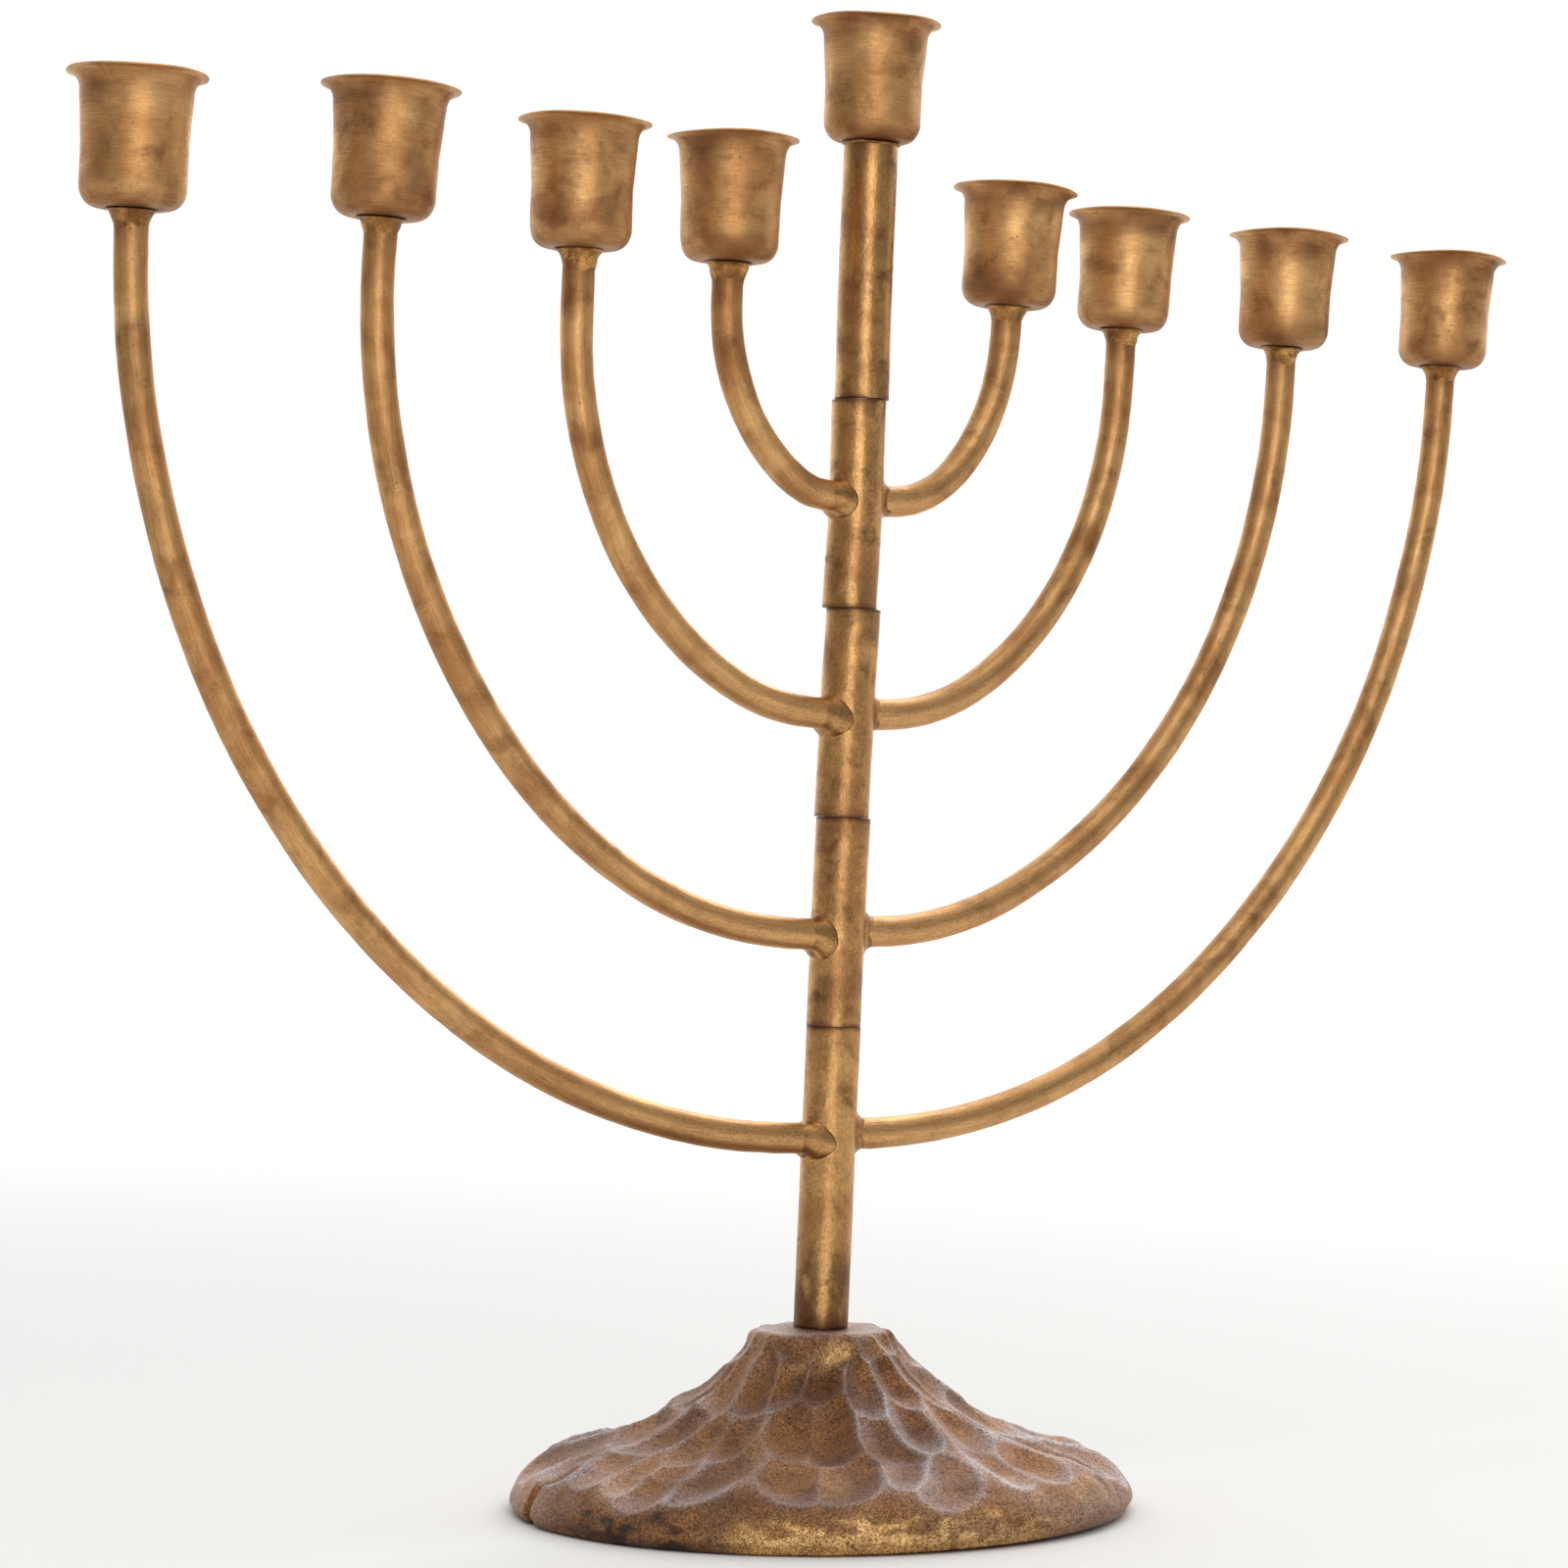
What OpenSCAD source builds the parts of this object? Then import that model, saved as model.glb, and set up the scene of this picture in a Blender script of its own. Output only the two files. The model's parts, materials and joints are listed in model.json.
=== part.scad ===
// Nine-cup hanukkiah (menorah) in aged brass. Four pairs of bent arms and a taller
// server light stand on a stack of column bars. Each bar turns on a loose pin and
// lifts off the one below it. Units are millimetres, +Z is up, and the origin is the
// middle of the face that the lamp stands on. The widest pair of arms lies along X.
//
// Lists of four values run from the lowest and widest tier to the highest.

/* [Base] */
// Height of the base's flat top above the table
base_h = 46.3; // [44:0.1:50]
// Radius of the base at its widest
base_r = 79.7; // [78:0.1:84]
// Radius of the base where the felt pad begins to tuck under
base_foot_r = 78.2; // [77:0.1:79]
// Radius of the base's flat top
crown_r = 16; // [14:0.5:17]
// Radius of the felt pad
pad_r = 75; // [74:0.5:76]
// Thickness of the felt pad
pad_t = 1.2; // [1:0.1:2]
// Height of the rim above the table, which the pad lifts it by
pad_proud = 0.4; // [0.2:0.1:0.8]

/* [Column] */
// Diameter of the column bars
column_d = 14; // [13:0.1:16]
// Angle that the column leans out of plumb, in degrees
lean = 2.46; // [0:0.01:3]
// Compass direction that it leans towards, in degrees from +X
lean_heading = -38.1; // [-180:0.1:180]
// Heights of the four seams above the base's top, measured along the column
seam_z = [77.2, 130.7, 184.2, 237.7]; // [70:0.1:250]
// Gap at the foot of the column
foot_gap = 0.5; // [0.4:0.05:0.8]
// Gap at each of the four seams
seam_gap = [0.15, 0.15, 0.2, 0.45]; // [0.1:0.05:0.6]

/* [Pins] */
// Diameter of the loose pins
pin_d = 9.5; // [8:0.1:10]
// Length of the loose pins
pin_l = 28; // [20:1:30]
// Radial clearance of a pin in its hole
pin_play = 0.05; // [0.02:0.01:0.1]

/* [Arms] */
// Diameter of the arm rods
rod_d = 8; // [7:0.1:9]
// Turn of each tier about the column, in degrees
tier_turn = [0, 1.7, 5.6, 3.3]; // [-180:0.1:180]
// Height of the left arms above their bar's lower seam
left_joint_z = [48.7, 23.5, 26.5, 28.5]; // [22:0.1:50]
// Height of the right arms above their bar's lower seam
right_joint_z = [49.7, 24.5, 27, 28.5]; // [22:0.1:50]
// Radius of the left arms' lower bends
left_low_r = [198, 129, 76, 18]; // [17:1:200]
// Radius of the right arms' lower bends
right_low_r = [180, 113, 74, 33]; // [17:1:200]
// Angle turned by the left arms' lower bends
left_low_a = [42, 40, 25, 26]; // [20:1:45]
// Angle turned by the right arms' lower bends
right_low_a = [31, 25, 31, 42]; // [20:1:45]
// Radius of the left arms' upper bends
left_high_r = [216.8, 160, 93.7, 49]; // [45:0.1:225]
// Radius of the right arms' upper bends
right_high_r = [222, 163, 100, 53]; // [45:0.1:225]
// Angle of the left arms' tips above the horizontal
left_tip_a = [90, 92, 90, 90]; // [86:0.5:93]
// Angle of the right arms' tips above the horizontal
right_tip_a = [88, 88.5, 88, 88]; // [86:0.5:93]
// Height of the left cups' undersides above the base's top
left_cup_z = [262.2, 267.1, 265.3, 268]; // [262:0.1:270]
// Height of the right cups' undersides above the base's top
right_cup_z = [265.9, 266, 265.9, 266.9]; // [262:0.1:270]
// Height of the server light's cup above the base's top
server_cup_z = 303.8; // [300:0.1:310]

/* [Cups] */
// Height of a cup
cup_h = 31.3; // [30:0.1:34]
// Outer radius of a cup around the candle's seat
cup_seat_r = 12.4; // [11.5:0.1:12.8]
// Outer radius of a cup below its flared lip
cup_neck_r = 13.25; // [12.8:0.05:13.6]
// Outer radius of a cup's lip
cup_lip_r = 16.5; // [15.5:0.1:17.5]
// Thickness of the spun sheet
cup_t = 0.7; // [0.6:0.05:1]
// Radius of the corner at a cup's underside
cup_corner_r = 3; // [2:0.5:4]
// Height of the straight seat's top edge above a cup's underside
cup_seat_top = 15; // [14:0.5:18]
// Height of the flared lip
cup_flare_h = 4.4; // [3.5:0.1:6]

/* [Brazing] */
// Radial width of a collar of braze at its wide end
braze_w = 2.2; // [1:0.1:2.5]
// Length of a collar of braze
braze_l = 3.4; // [2:0.1:3.8]
// Radial width of the bead under the server light's cup
server_braze_w = 0.8; // [0.5:0.1:1.2]
// Height of the bead under the server light's cup
server_braze_l = 1.2; // [0.8:0.1:2]

/* [Hidden] */
$fn = 96;

brass = "#a5793f";
dark_brass = "#8a6334";
cast_brown = "#7a5636";
felt_black = "#26221f";
pin_grey = "#8f8a7d";

rod_r = rod_d / 2;
column_r = column_d / 2;
hole_r = pin_d / 2 + pin_play;
half_pin = pin_l / 2;
// The straight start of an arm ends this far from the column's axis
stub_end = column_r + 4;
// The rods and collars start inside the bar, and are then coped to its round side
cope_start = column_r * 0.7;
// Small overrun for cutting tools
cut = 1;
// How far one length of an arm runs into the next, and the difference in their radii
overlap = 0.4;
step = 0.02;
// Steps in a curved outline
bell_steps = 12;
flare_steps = 6;
corner_steps = 5;
braze_steps = 5;
// Thickness of the casting's wall, down from its outer face
wall_t = 5;
// Height of the solid core's underside
core_z = base_h - half_pin - 4;
// Inner radius of the ledge that the pad is glued to
ledge_r = pad_r - 5;
// Free play around the pad in its recess
pad_play = 0.3;

// Pieces that are the same on both sides take a side: 0 is left and 1 is right
LEFT = 0;
RIGHT = 1;
SIDES = [LEFT, RIGHT];
joint_z = [left_joint_z, right_joint_z];
low_r = [left_low_r, right_low_r];
low_a = [left_low_a, right_low_a];
high_r = [left_high_r, right_high_r];
tip_a = [left_tip_a, right_tip_a];
cup_z = [left_cup_z, right_cup_z];

// Lower end of the bar of tier t, and the height of an arm's joint
function bar_foot(t) = t == 0 ? 0 : seam_z[t - 1];
function arm_z(t, s) = bar_foot(t) + joint_z[s][t];

// A point on a cubic curve with four control points
function curve(p, u) =
    pow(1 - u, 3) * p[0] + 3 * u * pow(1 - u, 2) * p[1]
    + 3 * u * u * (1 - u) * p[2] + pow(u, 3) * p[3];
function curve_points(p, n) = [for (i = [0:n]) curve(p, i / n)];

// An arm in its own upright plane: [distance from the axis, height]. The lower bend
// starts level at the stub, and the upper bend carries on to the tip's angle.
function low_centre(t, s) = [stub_end, arm_z(t, s) + low_r[s][t]];
function bend_point(c, r, a) = c + r * [sin(a), -cos(a)];
function high_centre(t, s) =
    low_centre(t, s) + (low_r[s][t] - high_r[s][t]) * [sin(low_a[s][t]), -cos(low_a[s][t])];
function arm_top(t, s) = bend_point(high_centre(t, s), high_r[s][t], tip_a[s][t]);
function tip_l(t, s) = (cup_z[s][t] - arm_top(t, s)[1]) / sin(tip_a[s][t]);
function cup_seat(t, s) = arm_top(t, s) + tip_l(t, s) * [cos(tip_a[s][t]), sin(tip_a[s][t])];

// Control points of the base's outline: the hollow flare and the rounded brim
brim_start = [base_r - 14, base_h * 0.355];
bell_flare = [[crown_r + 3.2, base_h - 2.6], [22.5, 36], [41, 21.5], brim_start];
bell_brim = [brim_start, [75, 14], [base_r, 9], [base_r, 3.2]];
crown_round = [[crown_r, base_h], [crown_r + 1.6, base_h], [crown_r + 2.6, base_h - 1.2], bell_flare[0]];

// Moves a shape from the column's own frame to its place on the base
module on_column() {
    translate([0, 0, base_h])
        rotate([0, 0, lean_heading])
            rotate([0, lean, 0])
                rotate([0, 0, -lean_heading])
                    children();
}

// Turns a shape to the plane of one arm: tier t, side s
module on_side(t, s) {
    rotate([0, 0, tier_turn[t] + (s == LEFT ? 180 : 0)])
        children();
}

// Puts a shape at the underside of a cup, in line with the arm's tip
module at_cup(t, s) {
    p = cup_seat(t, s);
    translate([p[0], 0, p[1]])
        rotate([0, 90 - tip_a[s][t], 0])
            children();
}

// A bent length of rod about a centre, from angle a0 to a1 above the horizontal. It
// runs a little way into the length at each end of it.
module bend(centre, r, a0, a1, thickness) {
    extra = overlap / r * 180 / PI;
    translate([centre[0], 0, centre[1]])
        rotate([90, 0, 0])
            rotate([0, 0, a0 - extra - 90])
                rotate_extrude(angle = a1 - a0 + 2 * extra)
                    translate([r, 0])
                        circle(r = thickness);
}

// A straight length of rod in the arm's plane, from a point and at an angle
module straight(p, l, a, thickness) {
    translate([p[0], 0, p[1]])
        rotate([0, 90 - a, 0])
            cylinder(r = thickness, h = l);
}

// A collar of braze on Z with a hollow outer face, wide at z = 0 and thin at its top
module collar(inner_r, width, length) {
    rotate_extrude()
        polygon(concat(
            [[inner_r, 0], [inner_r, length]],
            [for (i = [0:braze_steps]) let (a = 90 * i / braze_steps)
                [inner_r + 0.15 + width * (1 - cos(a)), length * (1 - sin(a))]]
        ));
}

// A round hole for a pin, from z = 0 up
module pin_hole(depth) {
    translate([0, 0, -cut])
        cylinder(r = hole_r, h = depth + cut);
}

// A column bar from height a to height b, with a pin hole in each end it needs
module bar(a, b, pin_above) {
    difference() {
        translate([0, 0, a])
            cylinder(r = column_r, h = b - a);
        translate([0, 0, a])
            pin_hole(half_pin - (a - pin_seat(a)));
        if (pin_above)
            translate([0, 0, b])
                mirror([0, 0, 1])
                    pin_hole(half_pin);
    }
}

// The end of the bar or base below a gap
function pin_seat(a) = max([for (z = concat([0], seam_z)) if (z < a) z]);

module base_casting() {
    color(cast_brown)
        difference() {
            rotate_extrude()
                polygon(concat(
                    [[0, pad_proud], [0, base_h]],
                    curve_points(crown_round, 4),
                    curve_points(bell_flare, bell_steps),
                    curve_points(bell_brim, bell_steps),
                    [[base_foot_r, pad_proud]]
                ));
            rotate_extrude()
                polygon(concat(
                    [[0, pad_proud - cut], [0, core_z], [crown_r, core_z]],
                    [for (p = curve_points(bell_flare, bell_steps))
                        if (p[1] - wall_t < core_z) p - [1, wall_t]],
                    [[ledge_r, 9], [ledge_r, pad_proud - cut]]
                ));
            translate([0, 0, pad_proud - cut])
                cylinder(r = pad_r + pad_play, h = pad_t - pad_proud + cut);
            on_column()
                mirror([0, 0, 1])
                    pin_hole(half_pin);
        }
}

module base_pad() {
    color(felt_black)
        cylinder(r = pad_r, h = pad_t);
}

// The loose pin whose middle is at height z on the column
module pin(z) {
    color(pin_grey)
        on_column()
            translate([0, 0, z - half_pin])
                cylinder(r = pin_d / 2, h = pin_l);
}

module hub(t) {
    color(brass)
        on_column()
            bar(bar_foot(t) + (t == 0 ? foot_gap : seam_gap[t - 1]), seam_z[t], true);
}

module arm(t, s) {
    color(brass)
        on_column()
            on_side(t, s)
                difference() {
                    union() {
                        straight([cope_start, arm_z(t, s)], stub_end - cope_start, 0, rod_r + step);
                        bend(low_centre(t, s), low_r[s][t], 0, low_a[s][t], rod_r);
                        bend(high_centre(t, s), high_r[s][t], low_a[s][t], tip_a[s][t], rod_r - step);
                        straight(arm_top(t, s), tip_l(t, s), tip_a[s][t], rod_r);
                    }
                    cylinder(r = column_r, h = server_cup_z);
                }
}

// One cup with its underside on z = 0
module cup() {
    seat_r = cup_seat_r - cup_t;
    neck_z = cup_h - cup_flare_h;
    corner = [for (i = [0:corner_steps]) 90 * i / corner_steps];
    flare = [for (i = [1:flare_steps]) 90 * i / flare_steps];
    rotate_extrude()
        polygon(concat(
            [[0, 0]],
            [for (a = corner)
                [cup_seat_r - cup_corner_r * (1 - sin(a)), cup_corner_r * (1 - cos(a))]],
            [[cup_seat_r, cup_seat_top], [cup_neck_r, neck_z]],
            [for (a = flare)
                [cup_neck_r + (cup_lip_r - cup_neck_r) * (1 - cos(a)),
                 neck_z + (cup_flare_h - cup_t) * sin(a)]],
            [[cup_lip_r, cup_h]],
            [for (i = [flare_steps:-1:0]) let (a = 90 * i / flare_steps)
                [cup_neck_r - cup_t + (cup_lip_r - cup_neck_r) * (1 - cos(a)),
                 neck_z + cup_flare_h * sin(a)]],
            [[seat_r, cup_seat_top], [seat_r, cup_corner_r]],
            [for (i = [corner_steps - 1:-1:0]) let (a = 90 * i / corner_steps)
                [seat_r - (cup_corner_r - cup_t) * (1 - sin(a)),
                 cup_t + (cup_corner_r - cup_t) * (1 - cos(a))]],
            [[0, cup_t]]
        ));
}

module arm_cup(t, s) {
    color(brass)
        on_column()
            on_side(t, s)
                at_cup(t, s)
                    cup();
}

// The two collars that braze the arms of tier t to its bar
module arm_brazes(t) {
    color(dark_brass)
        on_column()
            for (s = SIDES)
                on_side(t, s)
                    difference() {
                        translate([cope_start, 0, arm_z(t, s)])
                            rotate([0, 90, 0])
                                collar(rod_r + step, braze_w, column_r + braze_l - cope_start);
                        cylinder(r = column_r, h = server_cup_z);
                    }
}

// The two collars that braze the cups of tier t to its arms
module cup_brazes(t) {
    color(dark_brass)
        on_column()
            for (s = SIDES)
                on_side(t, s)
                    at_cup(t, s)
                        mirror([0, 0, 1])
                            collar(rod_r, braze_w, braze_l);
}

module server_stem() {
    color(brass)
        on_column()
            bar(seam_z[3] + seam_gap[3], server_cup_z, false);
}

module server_cup() {
    color(brass)
        on_column()
            translate([0, 0, server_cup_z])
                cup();
}

module server_braze() {
    color(dark_brass)
        on_column()
            translate([0, 0, server_cup_z])
                mirror([0, 0, 1])
                    collar(column_r, server_braze_w, server_braze_l);
}

base_casting();
base_pad();
pin(0);  // foot_pin
hub(0);  // tier_1_hub
arm(0, LEFT);  // tier_1_left_arm
arm(0, RIGHT);  // tier_1_right_arm
arm_cup(0, LEFT);  // tier_1_left_cup
arm_cup(0, RIGHT);  // tier_1_right_cup
arm_brazes(0);  // tier_1_arm_brazes
cup_brazes(0);  // tier_1_cup_brazes
pin(seam_z[0]);  // tier_1_pin
hub(1);  // tier_2_hub
arm(1, LEFT);  // tier_2_left_arm
arm(1, RIGHT);  // tier_2_right_arm
arm_cup(1, LEFT);  // tier_2_left_cup
arm_cup(1, RIGHT);  // tier_2_right_cup
arm_brazes(1);  // tier_2_arm_brazes
cup_brazes(1);  // tier_2_cup_brazes
pin(seam_z[1]);  // tier_2_pin
hub(2);  // tier_3_hub
arm(2, LEFT);  // tier_3_left_arm
arm(2, RIGHT);  // tier_3_right_arm
arm_cup(2, LEFT);  // tier_3_left_cup
arm_cup(2, RIGHT);  // tier_3_right_cup
arm_brazes(2);  // tier_3_arm_brazes
cup_brazes(2);  // tier_3_cup_brazes
pin(seam_z[2]);  // tier_3_pin
hub(3);  // tier_4_hub
arm(3, LEFT);  // tier_4_left_arm
arm(3, RIGHT);  // tier_4_right_arm
arm_cup(3, LEFT);  // tier_4_left_cup
arm_cup(3, RIGHT);  // tier_4_right_cup
arm_brazes(3);  // tier_4_arm_brazes
cup_brazes(3);  // tier_4_cup_brazes
pin(seam_z[3]);  // tier_4_pin
server_stem();
server_cup();
server_braze();
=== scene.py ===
import json
import math
import random
from math import cos, exp, pi, sin

import bpy
import numpy as np
from mathutils import Matrix, Vector, noise
from mathutils.bvhtree import BVHTree


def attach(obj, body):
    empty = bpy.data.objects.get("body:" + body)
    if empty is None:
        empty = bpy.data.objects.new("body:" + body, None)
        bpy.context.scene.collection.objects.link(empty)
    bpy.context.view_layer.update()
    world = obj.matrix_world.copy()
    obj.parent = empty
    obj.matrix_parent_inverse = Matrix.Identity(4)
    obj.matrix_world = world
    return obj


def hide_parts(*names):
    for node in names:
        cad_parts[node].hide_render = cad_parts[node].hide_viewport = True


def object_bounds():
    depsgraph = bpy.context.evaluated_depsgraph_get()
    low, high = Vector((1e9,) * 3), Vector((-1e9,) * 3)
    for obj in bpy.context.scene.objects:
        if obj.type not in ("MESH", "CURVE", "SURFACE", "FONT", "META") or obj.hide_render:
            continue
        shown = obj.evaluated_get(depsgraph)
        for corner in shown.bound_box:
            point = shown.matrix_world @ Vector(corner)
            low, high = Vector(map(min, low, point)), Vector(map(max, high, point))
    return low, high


# The looks of a nine-cup menorah: spun cups, bent rods, turned column bars, lumps of braze and a carved
# casting, each measured from the CAD node that it stands for. Lengths are in metres.

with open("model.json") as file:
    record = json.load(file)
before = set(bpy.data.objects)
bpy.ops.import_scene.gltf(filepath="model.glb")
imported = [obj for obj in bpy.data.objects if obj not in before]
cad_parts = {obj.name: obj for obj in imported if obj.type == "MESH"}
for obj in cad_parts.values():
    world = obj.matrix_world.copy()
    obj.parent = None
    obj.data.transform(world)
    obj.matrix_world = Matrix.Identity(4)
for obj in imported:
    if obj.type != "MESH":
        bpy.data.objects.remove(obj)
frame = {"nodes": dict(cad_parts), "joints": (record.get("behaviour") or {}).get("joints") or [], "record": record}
cad_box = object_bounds()

MM = 0.001
TIERS = (1, 2, 3, 4)
SIDES = ("left", "right")

mounts = {m["name"]: m for m in frame["record"]["mounts"]}
swivel = next(j for j in frame["joints"] if j["child"] == "foot_pin")
AXIS = Vector(swivel["axis"]).normalized()
FOOT = Vector(swivel["pos_m"])
ACROSS = (Vector((1, 0, 0)) - AXIS * AXIS.x).normalized()
DEEP = AXIS.cross(ACROSS)

# ---- reading the frame


def mesh_points(node):
    """The vertices of a CAD node as an array."""
    return np.array([v.co for v in frame["nodes"][node].data.vertices], float)


def measure(node, origin, axis):
    """Heights of a CAD node's vertices along an axis, and their distances from it."""
    away = mesh_points(node) - np.array(origin)
    heights = away @ np.array(axis)
    radii = np.linalg.norm(away - heights[:, None] * np.array(axis), axis=1)
    return heights, radii


def surface_tree(node):
    """A tree for casting rays at a CAD node."""
    mesh = frame["nodes"][node].data
    return BVHTree.FromPolygons([v.co for v in mesh.vertices], [p.vertices[:] for p in mesh.polygons])


def axes_matrix(origin, x, y, z):
    """The matrix of a frame with the given origin and axes."""
    return Matrix(((x[0], y[0], z[0], origin[0]), (x[1], y[1], z[1], origin[1]),
                   (x[2], y[2], z[2], origin[2]), (0, 0, 0, 1)))


COLUMN = axes_matrix(FOOT, ACROSS, DEEP, AXIS)
TO_COLUMN = COLUMN.to_3x3().inverted()


def upright_matrix(origin, axis):
    """A frame that stands on origin with its Z along axis."""
    x = (Vector((1, 0, 0)) - axis * axis.x).normalized()
    return axes_matrix(origin, x, axis.cross(x), axis)


# ---- building meshes


def wobble(point, size, seed=0.0):
    """Smooth noise from -1 to 1 with features of about the given size."""
    return noise.noise(Vector(point) / size + Vector((seed * 17.3, seed * 5.1, seed * 9.7)))


def bell(away, width):
    """1 at no distance, and a smooth fall to almost 0 at two widths."""
    return exp(-(away / width) ** 2)


def ramp(value, low, high):
    """0 below low, 1 above high, and a smooth rise between them."""
    t = min(1.0, max(0.0, (value - low) / (high - low)))
    return t * t * (3 - 2 * t)


def uneven(place, layers, seed):
    """Layers of noise, added up. Each layer is a height and a size of its features, in millimetres."""
    return sum(high * MM * wobble(place, size * MM, seed + i) for i, (high, size) in enumerate(layers))


def blotch(place, size, seed, low, high):
    """How much of a blotch there is at a place, 0 to 1: noise of the given size between two limits."""
    return ramp(wobble(place, size, seed), low, high)


def ring_angles(sides):
    """The angles of the points of a ring."""
    return [2 * pi * k / sides for k in range(sides)]


def polar(r, angle, z):
    """The point at a distance from the Z axis, an angle round it and a height."""
    return Vector((r * cos(angle), r * sin(angle), z))


def put(name, data):
    """A new object in the scene."""
    made = bpy.data.objects.new(name, data)
    bpy.context.scene.collection.objects.link(made)
    return made


class Skin:
    """The vertices of a piece with what its material reads at each. flow is a straightened position that
    grain follows. grime is 0 to 1 for dirt, patina and dust, and also for painted shade
    (under the cups' lips, on their undersides, at the bars' seams, along braze cracks and on the rods'
    upright runs) and, on the base, for pale dust with painted sheen. wear_and_painted_highlight is 0 to 1
    for rubbed or raw metal and for painted highlight (the rods' level runs, a streak down tier 1's bar),
    and below 0 for soot."""

    def __init__(self):
        self.points, self.flow, self.grime, self.wear_and_painted_highlight = [], [], [], []

    def add(self, point, flow=(0, 0, 0), grime=0.0, wear_and_painted_highlight=0.0):
        self.points.append(tuple(point))
        self.flow.append(tuple(flow))
        self.grime.append(grime)
        self.wear_and_painted_highlight.append(wear_and_painted_highlight)


def put_mesh(name, skin, faces, crease=40):
    """A smooth mesh object, hard at edges that turn by more than crease degrees."""
    mesh = bpy.data.meshes.new(name)
    mesh.from_pydata(skin.points, [], faces)
    mesh.validate()
    for key, kind, field in (("flow", "FLOAT_VECTOR", "vector"), ("grime", "FLOAT", "value"),
                             ("wear_and_painted_highlight", "FLOAT", "value")):
        layer = mesh.attributes.new(key, kind, "POINT")
        layer.data.foreach_set(field, np.array(getattr(skin, key), np.float32).ravel())
    mesh.shade_smooth()
    mesh.set_sharp_from_angle(angle=math.radians(crease))
    return put(name, mesh)


def ring_faces(rows, sides, closed_rows=False):
    """Quads between rows of points, each row a ring of the same number of points."""
    faces = []
    count = rows if closed_rows else rows - 1
    for i in range(count):
        a = i * sides
        b = (i + 1) % rows * sides
        for k in range(sides):
            n = (k + 1) % sides
            faces.append((a + k, a + n, b + n, b + k))
    return faces


def inside_out(faces):
    """The faces turned to look the other way."""
    return [tuple(reversed(face)) for face in faces]


def lathe(name, matrix, outline, sides, shape, paint):
    """A piece turned about the Z of matrix. outline is a closed path of (radius, height) that starts and
    ends on the axis. shape(radius, height, angle) gives a point's place, and paint(radius, height, place)
    its grime and wear_and_painted_highlight values, which carry painted shade and highlight as well as dirt and
    wear."""
    skin = Skin()
    for r, z in outline[1:-1]:
        for a in ring_angles(sides):
            local = Vector(shape(r, z, a))
            skin.add(matrix @ local, (z, *polar(r, a, z).xy), *paint(r, z, local))
    rows = len(outline) - 2
    faces = ring_faces(rows, sides)
    to_local = matrix.inverted()
    for z, first in ((outline[0][1], 0), (outline[-1][1], (rows - 1) * sides)):
        ring = skin.points[first:first + sides]
        level = sum((to_local @ Vector(p) for p in ring), Vector()) / sides
        middle = len(skin.points)
        skin.add(matrix @ Vector((level.x, level.y, z)), (z, 0, 0), skin.grime[first], skin.wear_and_painted_highlight[first])
        for k in range(sides):
            a, b = first + k, first + (k + 1) % sides
            faces.append((a, b, middle) if first else (b, a, middle))
    return put_mesh(name, skin, faces)


def hang(piece, body, slot, material, *nodes):
    """Gives a piece its material and body, and hides the CAD nodes that it stands for. slot is not used."""
    piece.data.materials.append(material)
    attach(piece, body)
    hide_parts(*nodes)


def arc(centre, radius_r, radius_z, start, end, steps):
    """Points on an ellipse's arc in (radius, height), with angles in degrees from the outward side."""
    found = []
    for i in range(steps + 1):
        a = math.radians(start + (end - start) * i / steps)
        found.append((centre[0] + radius_r * cos(a), centre[1] + radius_z * sin(a)))
    return found


def line(start, end, step):
    """Evenly spaced points from start to end, without the first."""
    count = max(1, round(math.dist(start, end) / step))
    return [tuple(start[i] + (end[i] - start[i]) * k / count for i in (0, 1)) for k in range(1, count + 1)]


# ---- materials


def srgb(red, green, blue):
    """A colour given as 0 to 255 on screen, as the shader's linear colour."""
    def linear(c):
        c /= 255
        return c / 12.92 if c <= 0.04045 else ((c + 0.055) / 1.055) ** 2.4
    return (linear(red), linear(green), linear(blue), 1)


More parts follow.
